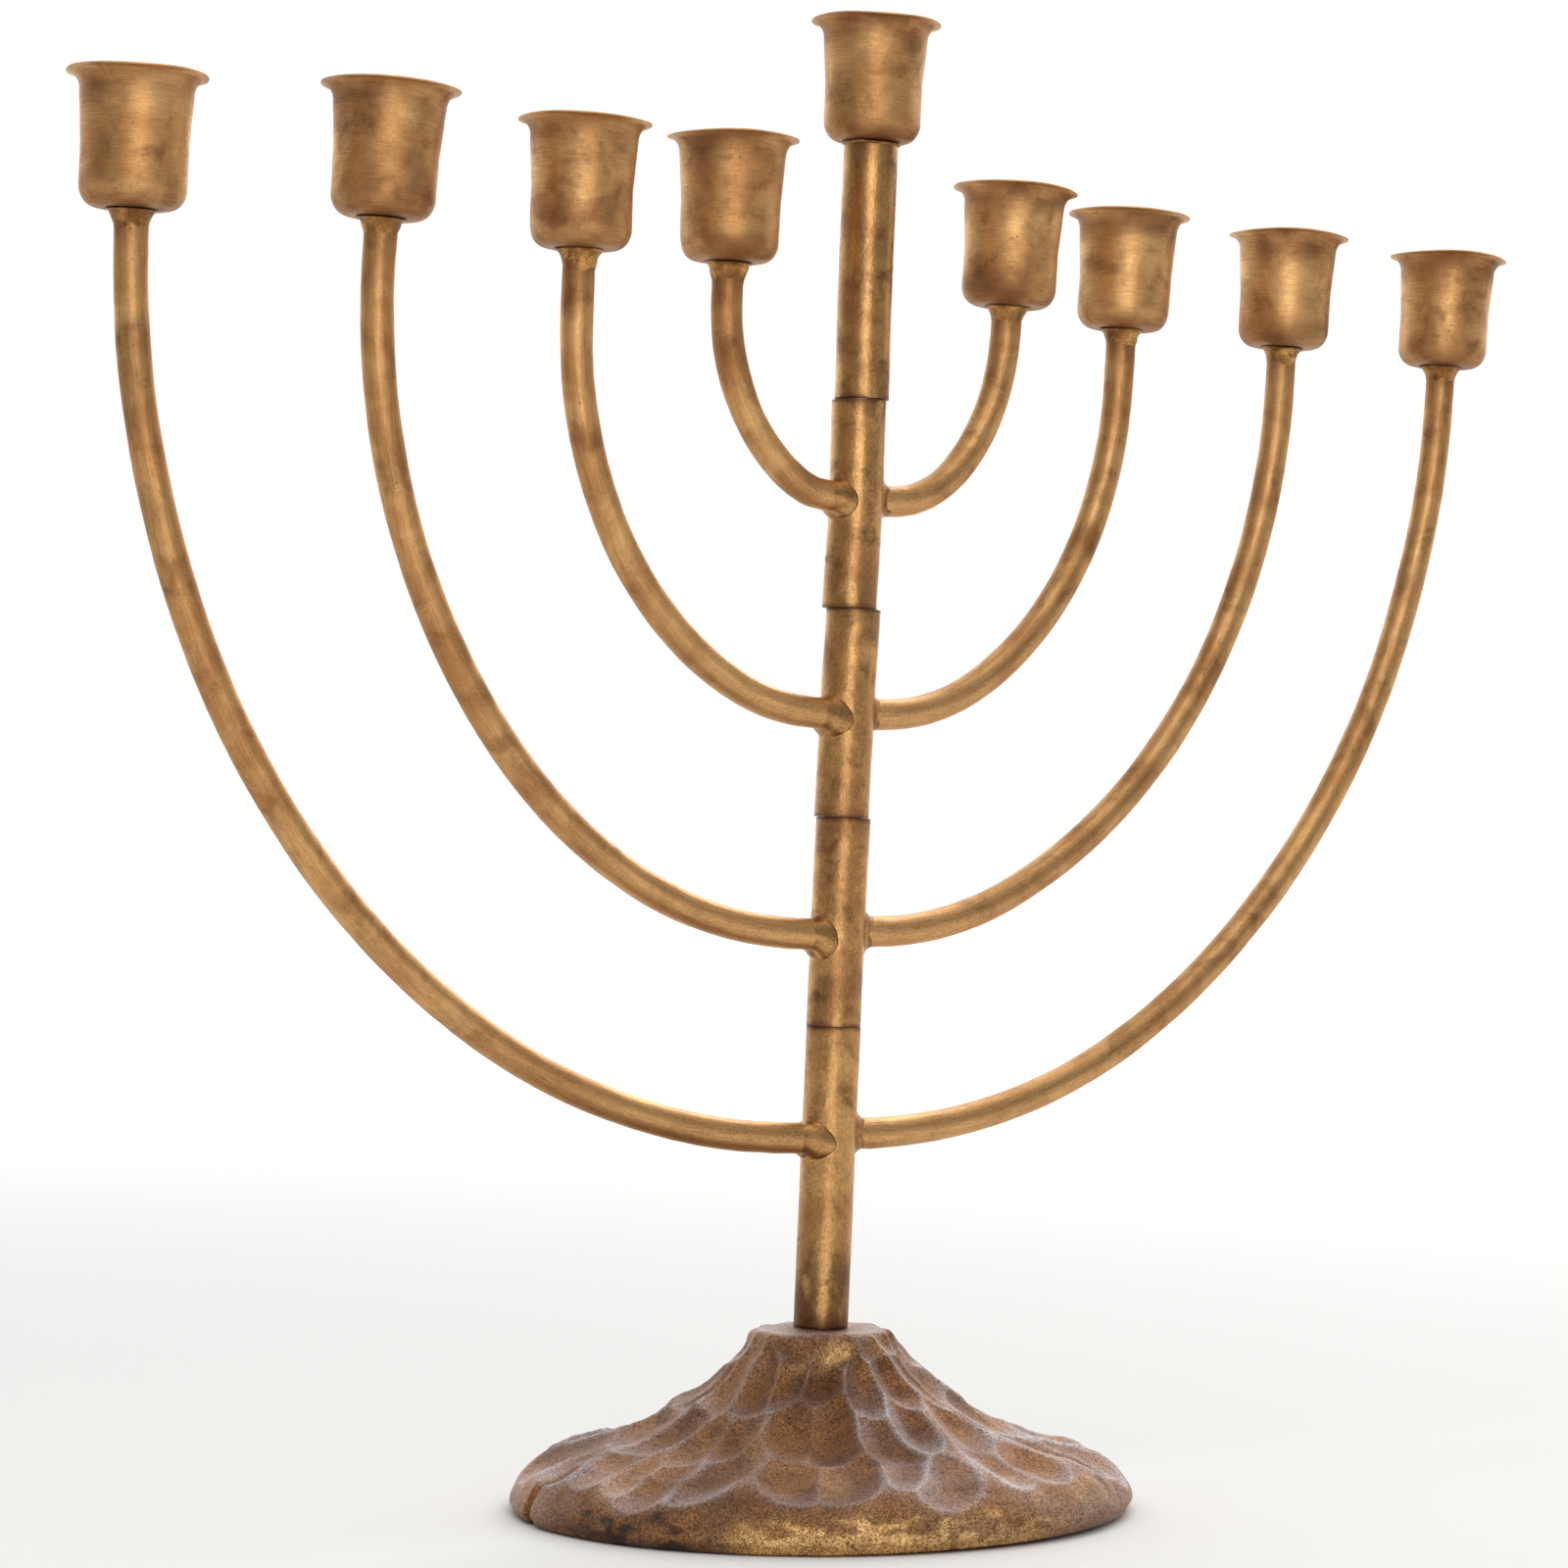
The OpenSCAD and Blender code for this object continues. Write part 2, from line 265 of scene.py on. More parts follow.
class Shader:
    """Builds the node tree of a material or of the world. Each call adds a node, whose kind is its type
    without ShaderNode in front, and returns its output."""

    def __init__(self, owner):
        owner.use_nodes = True
        self.owner = owner
        self.tree = owner.node_tree
        self.tree.nodes.clear()

    def add(self, kind, inputs, output, **settings):
        made = self.tree.nodes.new("ShaderNode" + kind)
        for key, value in settings.items():
            setattr(made, key, value)
        for key, value in inputs.items():
            if isinstance(value, bpy.types.NodeSocket):
                self.tree.links.new(value, made.inputs[key])
            else:
                made.inputs[key].default_value = value
        return made.outputs[output]

    def place(self):
        return self.add("TexCoord", {}, "Object")

    def attribute(self, name, output="Fac"):
        return self.add("Attribute", {}, output, attribute_name=name)

    def stretched(self, vector, scale):
        return self.add("VectorMath", {0: vector, 1: scale}, 0, operation="MULTIPLY")

    def noise(self, vector, scale, detail=4.0, rough=0.55, warp=0.0):
        inputs = {"Vector": vector, "Scale": scale, "Detail": detail, "Roughness": rough}
        return self.add("TexNoise", {**inputs, "Distortion": warp}, 0)

    def span(self, value, low, high, to_low=0.0, to_high=1.0):
        inputs = {0: value, 1: low, 2: high, 3: to_low, 4: to_high}
        return self.add("MapRange", inputs, 0, interpolation_type="SMOOTHSTEP")

    def sum(self, a, b):
        return self.add("Math", {0: a, 1: b}, 0, operation="ADD", use_clamp=True)

    def times(self, a, b):
        return self.add("Math", {0: a, 1: b}, 0, operation="MULTIPLY")

    def mix(self, factor, a, b, blend="MIX"):
        inputs = {0: factor, 6: a, 7: b}
        return self.add("Mix", inputs, 2, data_type="RGBA", blend_type=blend)

    def bump(self, height, depth, strength=1.0, normal=None):
        inputs = {"Height": height, "Distance": depth, "Strength": strength}
        if normal is not None:
            inputs["Normal"] = normal
        return self.add("Bump", inputs, 0)

    def output(self, kind, surface):
        last = self.tree.nodes.new("ShaderNode" + kind)
        self.tree.links.new(surface, last.inputs["Surface"])

    def finish(self, colour, rough, **others):
        inputs = {"Base Color": colour, "Roughness": rough}
        inputs.update({key.replace("_", " "): value for key, value in others.items()})
        self.output("OutputMaterial", self.add("BsdfPrincipled", inputs, 0))
        return self.owner


def material_shader(name):
    """The builder of a new material."""
    return Shader(bpy.data.materials.new(name))


def aged_brass(name, grain, tones, stain, satin, relief, fineness):
    """Antiqued brass: a satin golden metal under brown patina, with blotches, grain and small pits. grain
    is the stretch of the fine lines along flow's three directions, tones are the light, middle and dark
    colours, stain is how strong the brown blotches are, satin is the roughness of the clean metal, relief
    is how strongly its grain stands up, and fineness is the scale of its specks."""
    light, middle, dark = tones
    s = material_shader(name)
    flow = s.attribute("flow", "Vector")
    place = s.place()
    grime = s.attribute("grime")
    wear_and_painted_highlight = s.attribute("wear_and_painted_highlight")
    clouds = s.noise(place, 55, 5, 0.6, 0.6)
    blotches = s.noise(place, 120, 5, 0.6, 0.4)
    lines = s.noise(s.stretched(flow, grain), 1.0, 3, 0.6)
    dust = s.noise(place, fineness, 2, 0.6)
    spots = s.noise(place, 900, 3, 0.5)
    tone = s.mix(s.span(clouds, 0.36, 0.66), middle, light)
    tone = s.mix(s.times(s.span(blotches, 0.46, 0.74), stain), tone, dark)
    # Darker with patina and dirt, and with painted shade where the pieces put it.
    tone = s.mix(s.times(s.span(grime, 0.0, 1.0), 0.85), tone, dark)
    # Lighter with rubbed metal, and with painted highlight where the pieces put it.
    tone = s.mix(s.times(s.span(wear_and_painted_highlight, 0.0, 1.0), s.span(dust, 0.25, 0.58)), tone, light)
    fine = s.sum(s.times(lines, 0.6), s.times(dust, 0.4))
    shade = s.mix(s.span(fine, 0.3, 0.72), srgb(152, 144, 136), srgb(255, 251, 245))
    tone = s.mix(0.55, tone, shade, "MULTIPLY")
    pits = s.span(spots, 0.7, 0.76)
    tone = s.mix(s.times(pits, 0.5), tone, srgb(40, 26, 16))
    rough = s.span(s.sum(s.times(clouds, 0.5), s.times(fine, 0.5)), 0.2, 0.8, satin + 0.14, satin)
    rough = s.sum(rough, s.times(grime, 0.12))
    height = s.sum(s.times(lines, 0.5), s.times(dust, 0.5))
    normal = s.bump(height, 0.00012, relief)
    normal = s.bump(s.times(pits, -1), 0.0002, 0.6, normal)
    return s.finish(tone, rough, Normal=normal, Metallic=1.0)


def raw_braze(name):
    """Brazing metal: dark, rough and lumpy, with bright golden nuggets."""
    s = material_shader(name)
    place = s.place()
    grime = s.attribute("grime")
    wear_and_painted_highlight = s.attribute("wear_and_painted_highlight")
    clouds = s.noise(place, 220, 5, 0.6, 0.5)
    dust = s.noise(place, 2400, 3, 0.6)
    tone = s.mix(s.span(clouds, 0.38, 0.64), srgb(146, 102, 62), srgb(196, 146, 88))
    tone = s.mix(s.times(wear_and_painted_highlight, s.span(dust, 0.3, 0.6)), tone, srgb(226, 178, 104))
    # Darker with stains, and with painted shade along the cracks at the brazes' edges.
    tone = s.mix(s.times(grime, 0.9), tone, srgb(44, 29, 19))
    shade = s.mix(s.span(dust, 0.3, 0.7), srgb(140, 128, 116), srgb(255, 250, 242))
    tone = s.mix(0.5, tone, shade, "MULTIPLY")
    rough = s.span(dust, 0.2, 0.8, 0.55, 0.38)
    normal = s.bump(s.noise(place, 1300, 4, 0.6), 0.00025, 0.6)
    return s.finish(tone, rough, Normal=normal, Metallic=1.0)


def cast_brass(name):
    """Sand-cast brass: brown patina with pale dust and painted sheen on its crests and walls, golden rubbed
    patches and sandy grain.
    """
    s = material_shader(name)
    place = s.place()
    # dust holds the pale dust and painted sheen that make_base puts on the crests and walls of the cuts.
    dust = s.attribute("grime")
    wear_and_painted_highlight = s.attribute("wear_and_painted_highlight")
    clouds = s.noise(place, 42, 5, 0.6, 0.8)
    mottle = s.noise(place, 150, 6, 0.7, 1.0)
    grain = s.noise(place, 1700, 5, 0.7)
    powder = s.noise(place, 2500, 3, 0.7)
    tone = s.mix(s.span(clouds, 0.35, 0.65), srgb(136, 94, 62), srgb(178, 128, 84))
    tone = s.mix(s.times(s.span(mottle, 0.5, 0.7), 0.7), tone, srgb(80, 56, 41))
    shade = s.mix(s.span(grain, 0.37, 0.63), srgb(116, 102, 90), srgb(255, 250, 242))
    tone = s.mix(0.85, tone, shade, "MULTIPLY")
    soot = s.times(s.span(wear_and_painted_highlight, -0.6, -0.05, 1.0, 0.0), s.span(mottle, 0.36, 0.56))
    tone = s.mix(s.times(soot, 0.9), tone, srgb(58, 46, 38))
    flakes = s.sum(s.times(powder, 0.5), s.times(mottle, 0.5))
    gold = s.times(s.span(wear_and_painted_highlight, 0.0, 0.8), s.span(flakes, 0.38, 0.53))
    tone = s.mix(gold, tone, s.mix(s.span(grain, 0.38, 0.62), srgb(182, 118, 60), srgb(255, 220, 150)))
    # Pale dust and painted sheen, broken up by the sandy grain.
    dust_and_sheen = s.times(dust, s.span(s.sum(s.times(powder, 0.6), s.times(grain, 0.4)), 0.4, 0.56))
    tone = s.mix(s.times(dust_and_sheen, 0.95), tone, srgb(214, 211, 216))
    rough = s.sum(s.span(grain, 0.3, 0.7, 0.5, 0.38), s.times(dust_and_sheen, 0.15))
    rough = s.sum(rough, s.times(gold, -0.15))
    normal = s.bump(grain, 0.0004, 0.8)
    normal = s.bump(powder, 0.0002, 0.6, normal)
    metallic = s.span(dust_and_sheen, 0.1, 1.0, 0.9, 0.35)
    return s.finish(tone, rough, Normal=normal, Metallic=metallic)


def drawn_steel(name):
    """Dull drawn steel with fine rings round it and brown smears."""
    s = material_shader(name)
    place = s.place()
    rings = s.noise(s.stretched(place, (60, 60, 2200)), 1.0, 3, 0.6)
    smear = s.noise(place, 160, 5, 0.65, 0.8)
    tone = s.mix(s.span(rings, 0.3, 0.7), srgb(150, 146, 138), srgb(190, 186, 178))
    tone = s.mix(s.times(s.span(smear, 0.48, 0.7), 0.7), tone, srgb(104, 82, 60))
    rough = s.span(smear, 0.3, 0.7, 0.3, 0.5)
    return s.finish(tone, rough, Normal=s.bump(rings, 0.00008, 0.6), Metallic=1.0)


def pressed_felt(name):
    """Dark pressed felt with short matted fibres."""
    s = material_shader(name)
    place = s.place()
    hairs = s.noise(s.stretched(place, (900, 2600, 900)), 1.0, 4, 0.7, 2.5)
    tufts = s.noise(place, 600, 5, 0.7, 1.5)
    tone = s.mix(s.span(hairs, 0.3, 0.7), srgb(34, 30, 28), srgb(66, 60, 56))
    tone = s.mix(s.times(s.span(tufts, 0.4, 0.7), 0.5), tone, srgb(48, 43, 40))
    normal = s.bump(s.sum(s.times(hairs, 0.6), s.times(tufts, 0.4)), 0.0006, 0.9)
    return s.finish(tone, 0.95, Normal=normal, Metallic=0.0, Sheen_Weight=0.4)


CUP_TONES = (srgb(232, 184, 124), srgb(200, 148, 95), srgb(124, 81, 54))
BAR_TONES = (srgb(218, 170, 110), srgb(188, 138, 89), srgb(108, 72, 50))
ROUND_GRAIN = (5200, 180, 180)
LONG_GRAIN = (120, 3000, 3000)
BAR_GRAIN = (900, 2400, 2400)
cup_brass = aged_brass("cup_brass", ROUND_GRAIN, CUP_TONES, 0.65, 0.4, 0.35, 2600)
rod_brass = aged_brass("rod_brass", LONG_GRAIN, CUP_TONES, 0.6, 0.4, 0.12, 2600)
bar_brass = aged_brass("bar_brass", BAR_GRAIN, BAR_TONES, 0.8, 0.25, 0.9, 1500)
braze_metal = raw_braze("braze_metal")
base_metal = cast_brass("base_metal")
pin_metal = drawn_steel("pin_metal")
felt = pressed_felt("felt")

# ---- the camera

# How far the viewing direction is turned from +Y
VIEW_HEADING = math.radians(38.1)
TOWARDS = Vector((sin(VIEW_HEADING), cos(VIEW_HEADING), 0))
RIGHTWARDS = Vector((TOWARDS.y, -TOWARDS.x, 0))

# ---- cups

CUP_SIDES = 112
SHEET = 0.7 * MM
LIP_SHEET = 0.45 * MM
CUP_CORNER = 4.0 * MM
CUP_CORNER_H = 5.0 * MM
CUP_DOME = 0.4 * MM
# How far a cup widens above its seat, and its seat's and its flare's shares of its height
NECK_SWELL = 0.85 * MM
SEAT_SHARE, FLARE_SHARE = 0.48, 0.14
# Layers of unevenness: (height, size) in millimetres
CUP_UNEVEN = ((0.10, 9), (0.05, 3))
LIP_UNEVEN = 0.22 * MM
# The least and the most that a lip droops, a cup is oval and its corner is dented
LIP_DROOP = (0.07 * MM, 0.18 * MM)
CUP_OVAL = (0.08 * MM, 0.22 * MM)
CUP_DENT = (0.1 * MM, 0.3 * MM)


def cup_outline(height, lip_r, seat_r):
    """A spun cup's closed outline from the middle of its underside, round its lip and back inside."""
    neck_r, seat_top, flare = seat_r + NECK_SWELL, height * SEAT_SHARE, height * FLARE_SHARE
    neck_z = height - flare
    inner_r = seat_r - SHEET
    edge = LIP_SHEET / 2
    flat_r, corner_z = seat_r - CUP_CORNER, CUP_CORNER_H + CUP_DOME
    path = [(flat_r * k / 7, CUP_DOME * (k / 7) ** 2.5) for k in range(8)]
    path += arc((flat_r, corner_z), CUP_CORNER, CUP_CORNER_H, -84, 0, 12)
    path += line((seat_r, corner_z), (seat_r, seat_top), MM)
    path += line((seat_r, seat_top), (neck_r, neck_z), MM)
    path += arc((lip_r, neck_z), lip_r - neck_r, flare - LIP_SHEET, 180, 90, 14)[1:]
    path += arc((lip_r, height - edge), edge, edge, -90, 90, 6)[1:]
    path += arc((lip_r, neck_z), lip_r - neck_r + SHEET, flare, 90, 180, 12)[1:]
    path += line((neck_r - SHEET, neck_z), (inner_r, seat_top), 1.2 * MM)
    path += line((inner_r, seat_top), (inner_r, corner_z), 1.5 * MM)
    path += arc((flat_r, corner_z), CUP_CORNER - SHEET, CUP_CORNER_H - SHEET, 0, -90, 8)[1:]
    path += line((flat_r, CUP_DOME + SHEET), (0, SHEET), 1.5 * MM)
    return path


def make_cup(name, node, mount, body, seed):
    """A cup on its CAD node's place, a little uneven as spun sheet is."""
    seat = mounts[mount]
    axis = Vector(seat["axis"]).normalized()
    mouth = Vector(seat["pos_m"])
    heights, radii = measure(node, mouth, axis)
    under = mouth + axis * float(heights.min())
    height, lip_r = float(heights.max() - heights.min()), float(radii.max()) - LIP_SHEET / 2
    seat_r = seat["dims"]["r_mm"] * MM + SHEET
    rng = random.Random(seed)
    droop = [(rng.uniform(*LIP_DROOP), rng.uniform(0, 2 * pi)) for _ in range(3)]
    oval = (rng.uniform(*CUP_OVAL), rng.uniform(0, 2 * pi))
    dent = (rng.uniform(*CUP_DENT), rng.uniform(0, 2 * pi))
    outline = cup_outline(height, lip_r, seat_r)
    inner_side = set(outline[outline.index(max(outline, key=lambda point: point[1])):])

    def shape(r, z, a):
        up = max(0.0, z / height)
        lip = ramp(up, 0.8, 1.0)
        out = oval[0] * cos(2 * (a - oval[1])) * up + uneven(polar(r, a, z), CUP_UNEVEN, seed)
        out += lip * LIP_UNEVEN * wobble(polar(1, a, 0), 0.5, seed + 2)
        out *= min(1.0, r / (5 * MM))
        out -= bell(z - CUP_CORNER, 2.5 * MM) * dent[0] * max(0.0, cos(a - dent[1])) ** 6
        rise = sum(size * cos((k + 1) * (a - turn)) for k, (size, turn) in enumerate(droop))
        return polar(r + out, a, z + lip * rise)

    def paint(r, z, local):
        up = z / height
        # Painted shade: the band below the lip's flare and the cup's underside are darkened for the shade that
        # falls there. The inside is darker too, and the patches are patina.
        under_lip = ramp(up, 0.62, 0.9) * (1 - ramp(up, 0.95, 1.0))
        bottom = 1 - ramp(up, 0.0, 0.35)
        inside = 0.55 if (r, z) in inner_side else 0.0
        patch = blotch(local, 11 * MM, seed + 5, 0.1, 0.55)
        stain = 0.42 * under_lip + 0.5 * bottom + inside + 0.35 * patch
        edge = ramp(up, 0.965, 0.99)
        return min(1.0, stain * (1 - edge)), edge * 0.5

    piece = lathe(name, upright_matrix(under, axis), outline, CUP_SIDES, shape, paint)
    hang(piece, body, "aged_brass", cup_brass, node)
    return under, axis


# ---- arms

ARM_STEP = 1.0 * MM
ARM_SIDES = 48
ARM_BURIED = 3.0 * MM
ARM_SMOOTHING = 12
ARM_SWAY = 0.22 * MM


def arm_line(node, start, heading, plane):
    """Points down the middle of a rod, found by casting rays across it, from start to where it ends."""
    tree = surface_tree(node)
    points, halves = [], []
    here, ahead = start.copy(), heading.normalized()
    for _ in range(2000):
        across = ahead.cross(plane).normalized()
        near = tree.ray_cast(here, across)[3]
        far = tree.ray_cast(here, -across)[3]
        if near is None or far is None:
            break
        middle = here + across * (near - far) / 2
        if points:
            ahead = (middle - points[-1]).normalized()
        points.append(middle)
        halves.append((near + far) / 2)
        room = tree.ray_cast(middle, ahead)[3]
        if room is not None and room < ARM_STEP:
            points.append(middle + ahead * room)
            break
        here = middle + ahead * ARM_STEP
    radius = sorted(halves)[len(halves) // 2]
    return points, radius


def evened(points, passes):
    """The points with their small steps smoothed away, keeping both ends."""
    for _ in range(passes):
        inner = [(points[i - 1] + points[i] * 2 + points[i + 1]) / 4 for i in range(1, len(points) - 1)]
        points = [points[0]] + inner + [points[-1]]
    return points


def make_arm(name, node, body, under, axis, seed):
    """A bent rod from under its cup into its bar, swept along the CAD rod's own middle."""
    out = (under - FOOT) - AXIS * (under - FOOT).dot(AXIS)
    plane = AXIS.cross(out.normalized()).normalized()
    path, radius = arm_line(node, under - axis * 1.5 * MM, -axis, plane)
    path = evened(path, ARM_SMOOTHING)
    root = path[-1]
    inward = (path[-1] - path[-3]).normalized()
    path = [under - axis * 0.05 * MM] + path + [root + inward * ARM_BURIED * k / 3 for k in (1, 2, 3)]
    count = len(path)
    skin = Skin()
    along = 0.0
    for i, middle in enumerate(path):
        ahead = (path[min(i + 1, count - 1)] - path[max(i - 1, 0)]).normalized()
        across = ahead.cross(plane).normalized()
        if i:
            along += (middle - path[i - 1]).length
        fade = ramp(min(along, (root - middle).length), 2 * MM, 20 * MM)
        sway = across * wobble((along, 0, 0), 45 * MM, seed) + plane * wobble((along, 9, 0), 60 * MM, seed)
        centre = middle + sway * ARM_SWAY * fade
        joint = bell((root - middle).length, 14 * MM)
        tip = bell(along, 9 * MM)
        # Painted highlight and shade: a rod's level runs are lightened and its upright runs darkened, for how the
        # light lies along them.
        painted_level_sheen = max(0.0, 1 - abs(ahead.dot(AXIS))) ** 1.4
        for a in ring_angles(ARM_SIDES):
            x, y = cos(a) * MM, sin(a) * MM
            side = across * cos(a) + plane * sin(a)
            lump = 0.11 * MM * wobble((along, 2 * x, 2 * y), 13 * MM, seed + 1)
            lump += 0.05 * MM * wobble((along, 4 * x, 4 * y), 3.5 * MM, seed + 2)
            lump += 0.15 * MM * joint * wobble(centre + side * radius, 3 * MM, seed + 3)
            where = centre + side * (radius + lump)
            patch = blotch((along, 3 * x, 3 * y), 16 * MM, seed + 4, 0.05, 0.6)
            # The patches and the darkening at the joint and the tip are stains; the part that follows the run's
            # slope is painted shade, and the same part of shine is painted highlight.
            stain = 0.4 * patch + 0.3 * joint + 0.5 * tip + 0.12 * (1 - painted_level_sheen)
            shine = painted_level_sheen + 0.35 * blotch(where, 10 * MM, seed + 6, 0.2, 0.6)
            flow = (along, radius * cos(a), radius * sin(a))
            skin.add(where, flow, min(1.0, stain * (1 - 0.5 * painted_level_sheen)), min(1.0, shine))
    faces = ring_faces(count, ARM_SIDES)
    whole = range(count * ARM_SIDES)
    faces += [tuple(reversed(whole[:ARM_SIDES])), tuple(whole[-ARM_SIDES:])]
    hang(put_mesh(name, skin, inside_out(faces)), body, "aged_brass", rod_brass, node)
    return root, radius


# ---- brazing

NUGGET_COUNT = 7
LAP_REACH = 5.6 * MM
LAP_SAG = 1.0 * MM
FILLET_WIDTH = 1.1 * MM
COLLAR_SIDES, COLLAR_STEPS = 72, 18
BRAZE_SIDES, BRAZE_STEPS = 112, 30
BRAZE_CREASE = 60


def nuggets(rng, low, high):
    """Small lumps on a collar: (angle, place from 0 to 1, size, height)."""
    return [(rng.uniform(0, 2 * pi), rng.uniform(low, high), rng.uniform(0.10, 0.26),
             rng.uniform(0.15, 0.55) * MM) for _ in range(NUGGET_COUNT)]


def lump_height(lumps, a, u):
    """How far the lumps raise a collar at an angle and a place along it."""
    total = 0.0
    for turn, place, size, height in lumps:
        away = abs((a - turn + pi) % (2 * pi) - pi)
        total += height * bell(away, size * 1.6) * bell(u - place, size * 0.9)
    return total


def make_cup_braze(name, body, under, axis, rod_r, collar, seed, node):
    """The flared collar of braze under a cup, ragged and parted from it by a crack in places. collar is its
    width and length and the width of its crack."""
    width, length, gap = collar
    rng = random.Random(seed)
    lumps = nuggets(rng, 0.1, 0.8)
    turn = rng.uniform(0, 2 * pi)
    matrix = upright_matrix(under, axis)
    skin = Skin()
    for i in range(COLLAR_STEPS + 1):
        u = i / COLLAR_STEPS
        swing = pi / 2 * u
        for a in ring_angles(COLLAR_SIDES):
            ragged = 1 + 0.22 * wobble(polar(1, a, 0), 0.7, seed)
            reach = length * (1 + 0.3 * wobble(polar(1, a, 5), 0.6, seed))
            parted = ramp(cos(a - turn), -0.1, 0.6)
            crack = gap * parted
            raised = lump_height(lumps, a, u)
            r = rod_r + width * ragged * (1 - cos(swing)) + 0.06 * MM * sin(swing)
            r += raised * cos(swing * 0.6) + 0.08 * MM * wobble(polar(r, a, u * reach), 0.9 * MM, seed)
            r -= 0.12 * MM * (1 - u) ** 4
            z = -crack - (reach - crack) * (1 - sin(swing))
            stain = 0.45 * blotch(polar(1, a, u), 0.5, seed + 3, 0.0, 0.5)
            # Painted shade: the collar's upper edge darkens next to the crack under the cup, most where it is
            # parted; the blotches are stains.
            grime = max(ramp(u, 0.85, 1.0) * (0.35 + 0.65 * parted), stain)
            flow = (z, *polar(r, a, z).xy)
            skin.add(matrix @ polar(r, a, z), flow, grime, min(0.5, raised / (0.6 * MM)))
    # The face that closes the collar inside the crack, and the part buried in the rod, are made fully dark as
    # painted shade in the crack.
    buried_r = rod_r - 0.6 * MM
    for z in (-gap * 0.8, -length * 1.1):
        for a in ring_angles(COLLAR_SIDES):
            skin.add(matrix @ polar(buried_r, a, z), (z, 0, 0), 1.0)
    faces = ring_faces(COLLAR_STEPS + 3, COLLAR_SIDES, closed_rows=True)
    hang(put_mesh(name, skin, faces, BRAZE_CREASE), body, "braze", braze_metal, node)


def on_bar(centre, out, side, bar_r, y, z, lift):
    """The point that stands lift above a bar's round side, y round it and z along it from a joint."""
    surface = math.sqrt(max(bar_r * bar_r - y * y, (0.25 * bar_r) ** 2))
    return centre + out * (surface + lift) + side * y + AXIS * z


def make_arm_braze(name, body, root, rod_r, bar_r, laps, webs, material, seed, node):
    """The braze where a rod meets its bar. laps is how far the rod's metal laps round the bar on its
    flanks as a smooth swollen lump, or 0 for a plain fillet, and how ragged its edge is. The crack round
    the lump is not cut but painted as a dark line of painted shade, fainter round plain fillets. webs are
    how far hollow fillets climb the bar above and below the rod, and how far they run out along it.
    Lengths in laps and webs are in millimetres."""
    lap, rough = laps[0] * MM, laps[1]
    climb, drop, reach = (length * MM for length in webs)
    height = (root - FOOT).dot(AXIS)
    out = (root - FOOT - AXIS * height).normalized()
    side = AXIS.cross(out)
    centre = FOOT + AXIS * height
    rng = random.Random(seed)
    lumps = nuggets(rng, 0.35, 0.95)
    skin = Skin()
    for i in range(BRAZE_STEPS + 1):
        u = i / BRAZE_STEPS
        swing = pi / 2 * u
        for a in ring_angles(BRAZE_SIDES):
            flank = abs(cos(a)) ** (1.1 if lap else 1.5)
            above, below = max(0.0, sin(a)) ** 1.5, max(0.0, -sin(a)) ** 1.5
            turn = polar(1, a, 0)
            ragged = 1 + rough * wobble(turn, 0.6, seed)
            bulge = flank if lap else 0.0
            width = (lap or FILLET_WIDTH) * flank + climb * above + drop * below + 0.25 * MM
            hollow = reach * (0.5 + 0.5 * (above + below)) * (1 + 0.2 * wobble(turn, 0.5, seed + 6))
            swollen = LAP_REACH * (1 + 0.15 * wobble(turn, 0.7, seed + 7))
            spread = (1 - bulge) * (1 - cos(swing)) + bulge * ramp(u, 0.0, 0.88)
            rho = rod_r + width * ragged * spread
            lift = (1 - bulge) * hollow * (1 - sin(swing)) + bulge * swollen * (1 - u) ** 1.1
            raised = lump_height(lumps, a, u) * (1 - u ** 6) * (1 - 0.8 * bulge)
            rho += raised * 0.4 - 0.15 * MM * (1 - u) ** 4
            lift += raised * 0.5 - 0.18 * MM * u ** 6
            y, z = rho * cos(a), rho * sin(a) - LAP_SAG * bulge * ramp(u, 0.15, 0.8)
            lift += (0.09 - 0.05 * bulge) * MM * wobble((y, z, 0), 1.1 * MM, seed + 1) * (1 - u ** 6)
            # Painted shade: a dark line round the braze's edge stands for the shadow in a crack, which is not
            # modelled.
            crack = ramp(u, 0.8, 0.93) * (0.35 + 0.65 * bulge)
            crack *= min(1.0, 1.1 - 4 * rough * blotch(turn, 0.5, seed + 9, -0.3, 0.4))
            stain = 0.5 * blotch((y, z, lift), 2.5 * MM, seed + 2, 0.0, 0.5)
            place = on_bar(centre, out, side, bar_r, y, z, lift)
            skin.add(place, (lift, y, z), max(crack, stain), min(1.0, raised / (0.3 * MM) + 0.35 * bulge))
    buried_r = rod_r - 0.8 * MM
    for rho, lift in ((rod_r + 0.2 * MM, -1.6 * MM), (buried_r, -1.6 * MM), (buried_r, 2.0 * MM)):
        for a in ring_angles(BRAZE_SIDES):
            y, z = rho * cos(a), rho * sin(a)
            skin.add(on_bar(centre, out, side, bar_r, y, z, lift), (0, y, z), 1.0)
    faces = inside_out(ring_faces(BRAZE_STEPS + 4, BRAZE_SIDES, closed_rows=True))
    hang(put_mesh(name, skin, faces, BRAZE_CREASE), body, "braze", material, node)


# ---- column bars

BAR_SIDES = 96
BAR_STEP = 0.7 * MM
EDGE = 0.1 * MM
# The turned seat on top of a bar, in from its edge and above its end
SEAT_INSET = 0.5 * MM
SEAT_STEP = 0.11 * MM
PIN_END_PLAY = 0.2 * MM
# Layers of unevenness: everywhere on a bar, and near its joints
BAR_UNEVEN = ((0.06, 9), (0.035, 2.5))
BRAZED_UNEVEN = ((0.22, 2.2), (0.12, 1.0))


